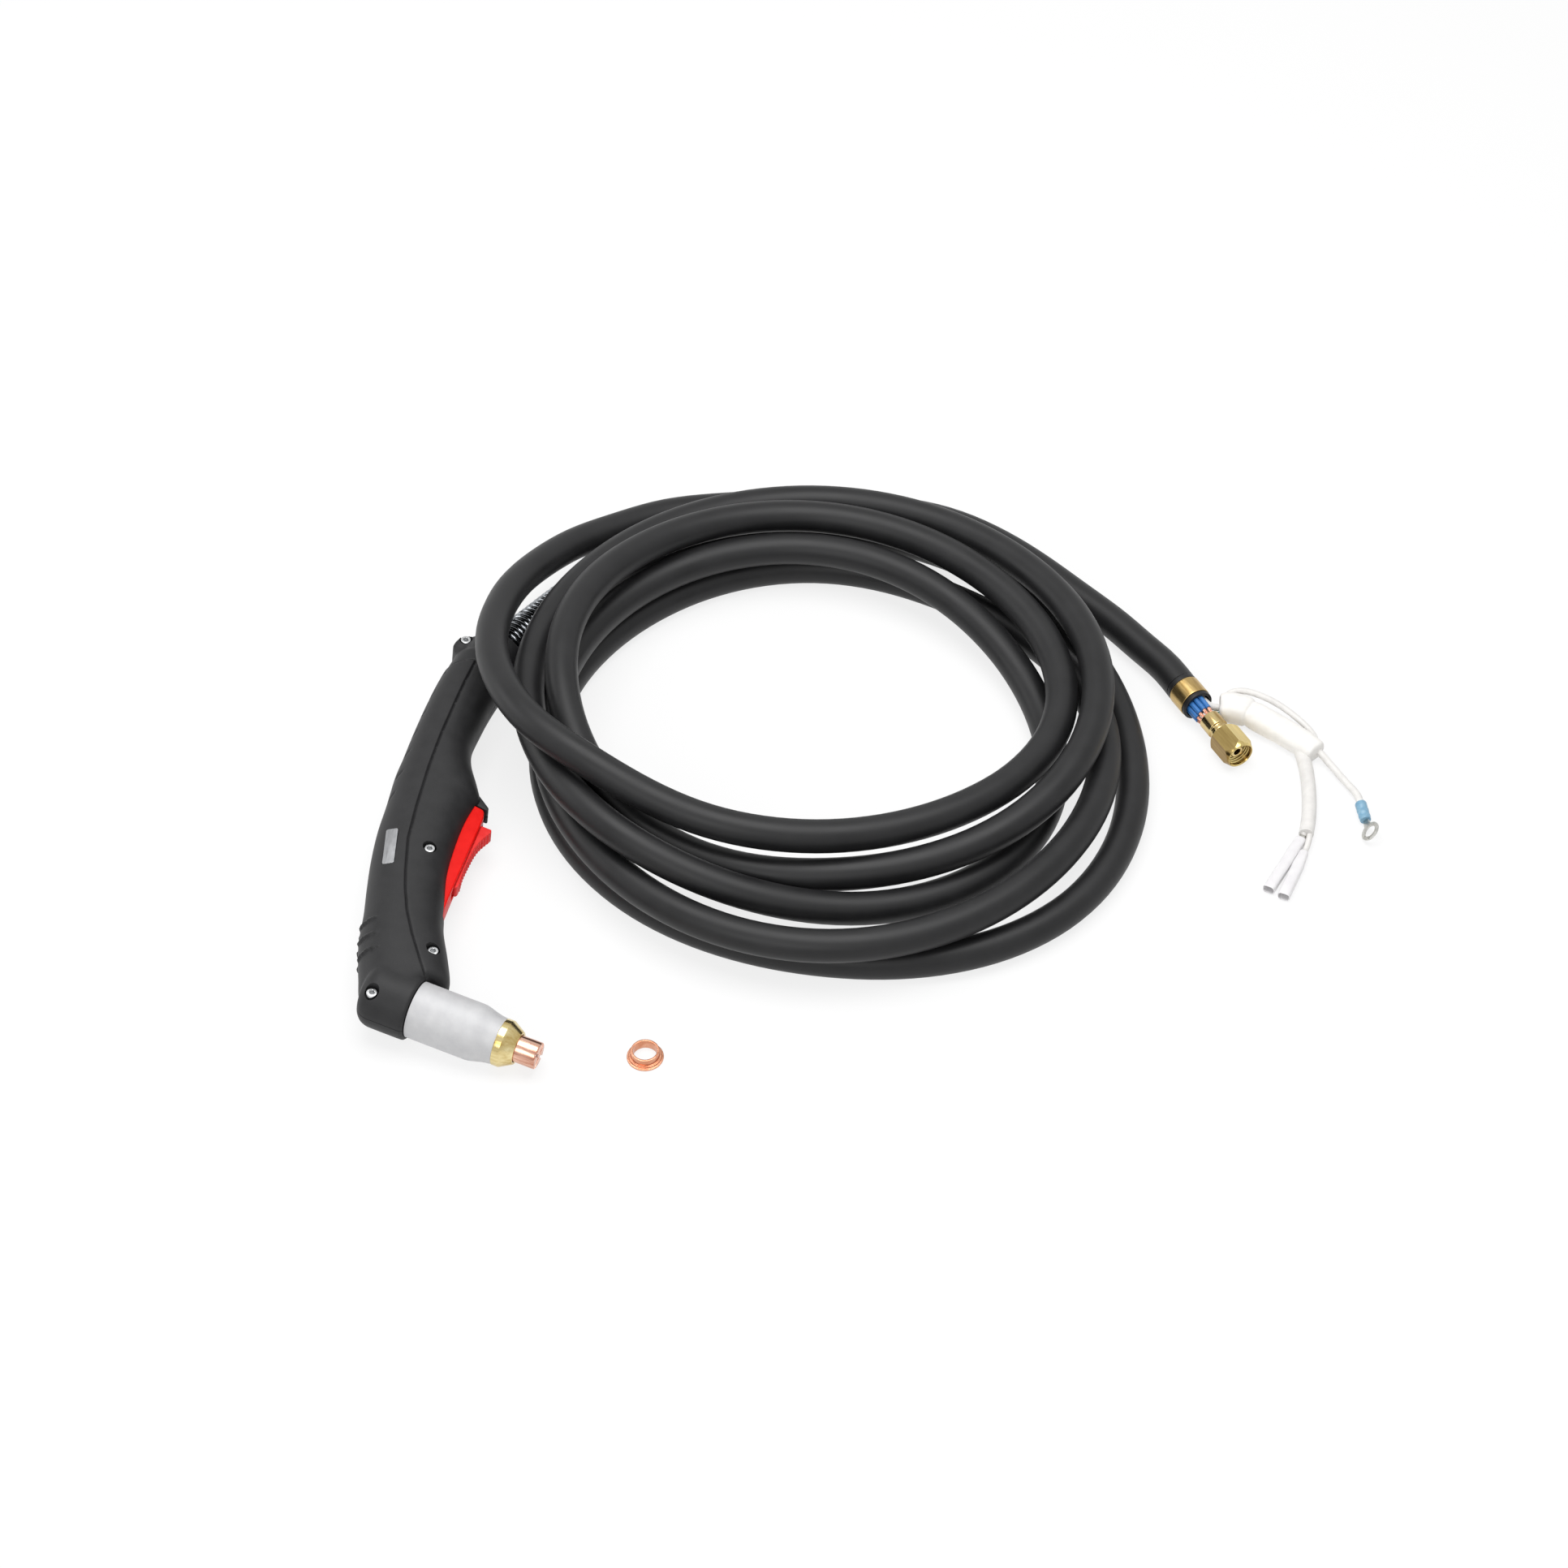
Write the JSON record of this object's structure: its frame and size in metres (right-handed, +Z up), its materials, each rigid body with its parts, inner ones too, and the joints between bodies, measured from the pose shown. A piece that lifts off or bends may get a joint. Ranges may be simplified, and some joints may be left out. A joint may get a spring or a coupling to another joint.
{
  "type": "plasma cutting hand torch",
  "caption": "Plasma cutting hand torch with angled head, squeeze trigger and release slide, on a coiled black lead with a brass swivel fitting, control wires and a loose copper ring.",
  "frame": {"origin": "floor point under the middle of the box around the torch and the loose ring, with the lead and what is on it left out", "axes": "+Z up from the floor it lies on, +X to the right and +Y away from the viewer as pictured, the handle running mostly along +Y"},
  "size_m": [0.5245, 0.4222, 0.0754],
  "materials": {
    "black_nylon": "fine textured black glass filled nylon",
    "black_rubber": "satin black rubber",
    "red_plastic": "red plastic",
    "pale_red_plastic": "slightly paler red plastic",
    "grey_satin": "light grey satin coating",
    "brass": "turned brass",
    "copper": "bright copper",
    "steel": "bright steel",
    "blued_steel": "dark blued spring wire",
    "silver_foil": "plain satin plate",
    "blue_pvc": "blue wire insulation",
    "green_pvc": "green wire insulation",
    "white_silicone": "white silicone insulation",
    "white_foam": "white foam wrap",
    "clear_vinyl": "translucent vinyl",
    "crimp_blue": "light blue crimp sleeve",
    "tinned_copper": "tinned copper",
    "ceramic": "fired ceramic",
    "phenolic": "dark moulded insulation"
  },
  "bodies": {
    "torch": {"handle_shell_upper": "black_nylon", "handle_shell_lower": "black_nylon", "switch_body": "black_nylon", "lead_tail": "black_rubber", "lead_coil": "black_rubber", "lead_run_out": "black_rubber", "lead_mouth": "black_rubber", "head_seal_ring": "black_rubber", "power_gas_tube": "black_rubber", "torch_head_body": "brass", "lead_band": "brass", "fitting_barrel": "brass", "fitting_nipple": "brass", "cutting_tip": "copper", "electrode": "copper", "loose_copper_ring": "copper", "copper_strand_1": "copper", "copper_strand_2": "copper", "copper_strand_3": "copper", "copper_strand_4": "copper", "copper_strand_5": "copper", "handle_screw_1": "steel", "handle_screw_2": "steel", "handle_screw_3": "steel", "handle_screw_4": "steel", "trigger_pivot_pin": "steel", "trigger_return_spring": "steel", "strain_relief_spring": "blued_steel", "handle_plate": "silver_foil", "blue_wire_1": "blue_pvc", "blue_wire_2": "blue_pvc", "blue_wire_3": "blue_pvc", "blue_wire_4": "blue_pvc", "blue_wire_5": "blue_pvc", "green_wire": "green_pvc", "control_stub": "white_silicone", "control_loop_wire": "white_silicone", "control_pair_sleeve": "white_silicone", "control_ring_wire": "white_silicone", "connector_wire_1": "white_silicone", "connector_wire_2": "white_silicone", "switch_wire_1": "white_silicone", "switch_wire_2": "white_silicone", "control_foam_sleeve": "white_foam", "push_on_cover_1": "clear_vinyl", "push_on_cover_2": "clear_vinyl", "ring_crimp_sleeve": "crimp_blue", "ring_terminal": "tinned_copper", "push_on_receptacle_1": "tinned_copper", "push_on_receptacle_2": "tinned_copper", "gas_distributor": "ceramic", "head_insulator": "phenolic"},
    "trigger": {"trigger": "red_plastic", "release_return_spring": "steel"},
    "release": {"trigger_release": "pale_red_plastic"},
    "plunger": {"switch_plunger": "red_plastic"},
    "cup": {"shield_cup": "grey_satin", "cup_end_ring": "brass"},
    "nut": {"swivel_nut": "brass"}
  },
  "joints": [
    {"name": "trigger_squeeze", "type": "hinge", "parent": "torch", "child": "trigger", "pos_m": [-0.04113, -0.05365, 0.01798], "axis": [0.1087, -0.0094, 0.994], "range_deg": [0, 3.5], "stiffness_Nm_per_rad": 4, "springref_deg": -2.29, "deforming": ["trigger_return_spring"]},
    {"name": "release_slide", "type": "slide", "parent": "trigger", "child": "release", "axis": [0.254, 0.967, -0.0186], "range_m": [0, 0.004], "stiffness_N_per_m": 800, "springref_m": -0.003, "deforming": ["release_return_spring"]},
    {"name": "switch_press", "type": "slide", "parent": "torch", "child": "plunger", "axis": [-0.9673, 0.2296, 0.1079], "range_m": [0, 0.0039]},
    {"name": "cup_turn", "type": "hinge", "parent": "torch", "child": "cup", "pos_m": [-0.0463, -0.1156, 0.01796], "axis": [0.924, -0.3677, -0.1045], "continuous": true},
    {"name": "nut_spin", "type": "hinge", "parent": "torch", "child": "nut", "pos_m": [0.3507, 0.1219, 0.0094], "axis": [0.4695, -0.8829, 0], "continuous": true}
  ],
  "couplings": [
    {"joint": "switch_press", "follows": "trigger_squeeze", "m_per_rad": 0.0625}
  ]
}
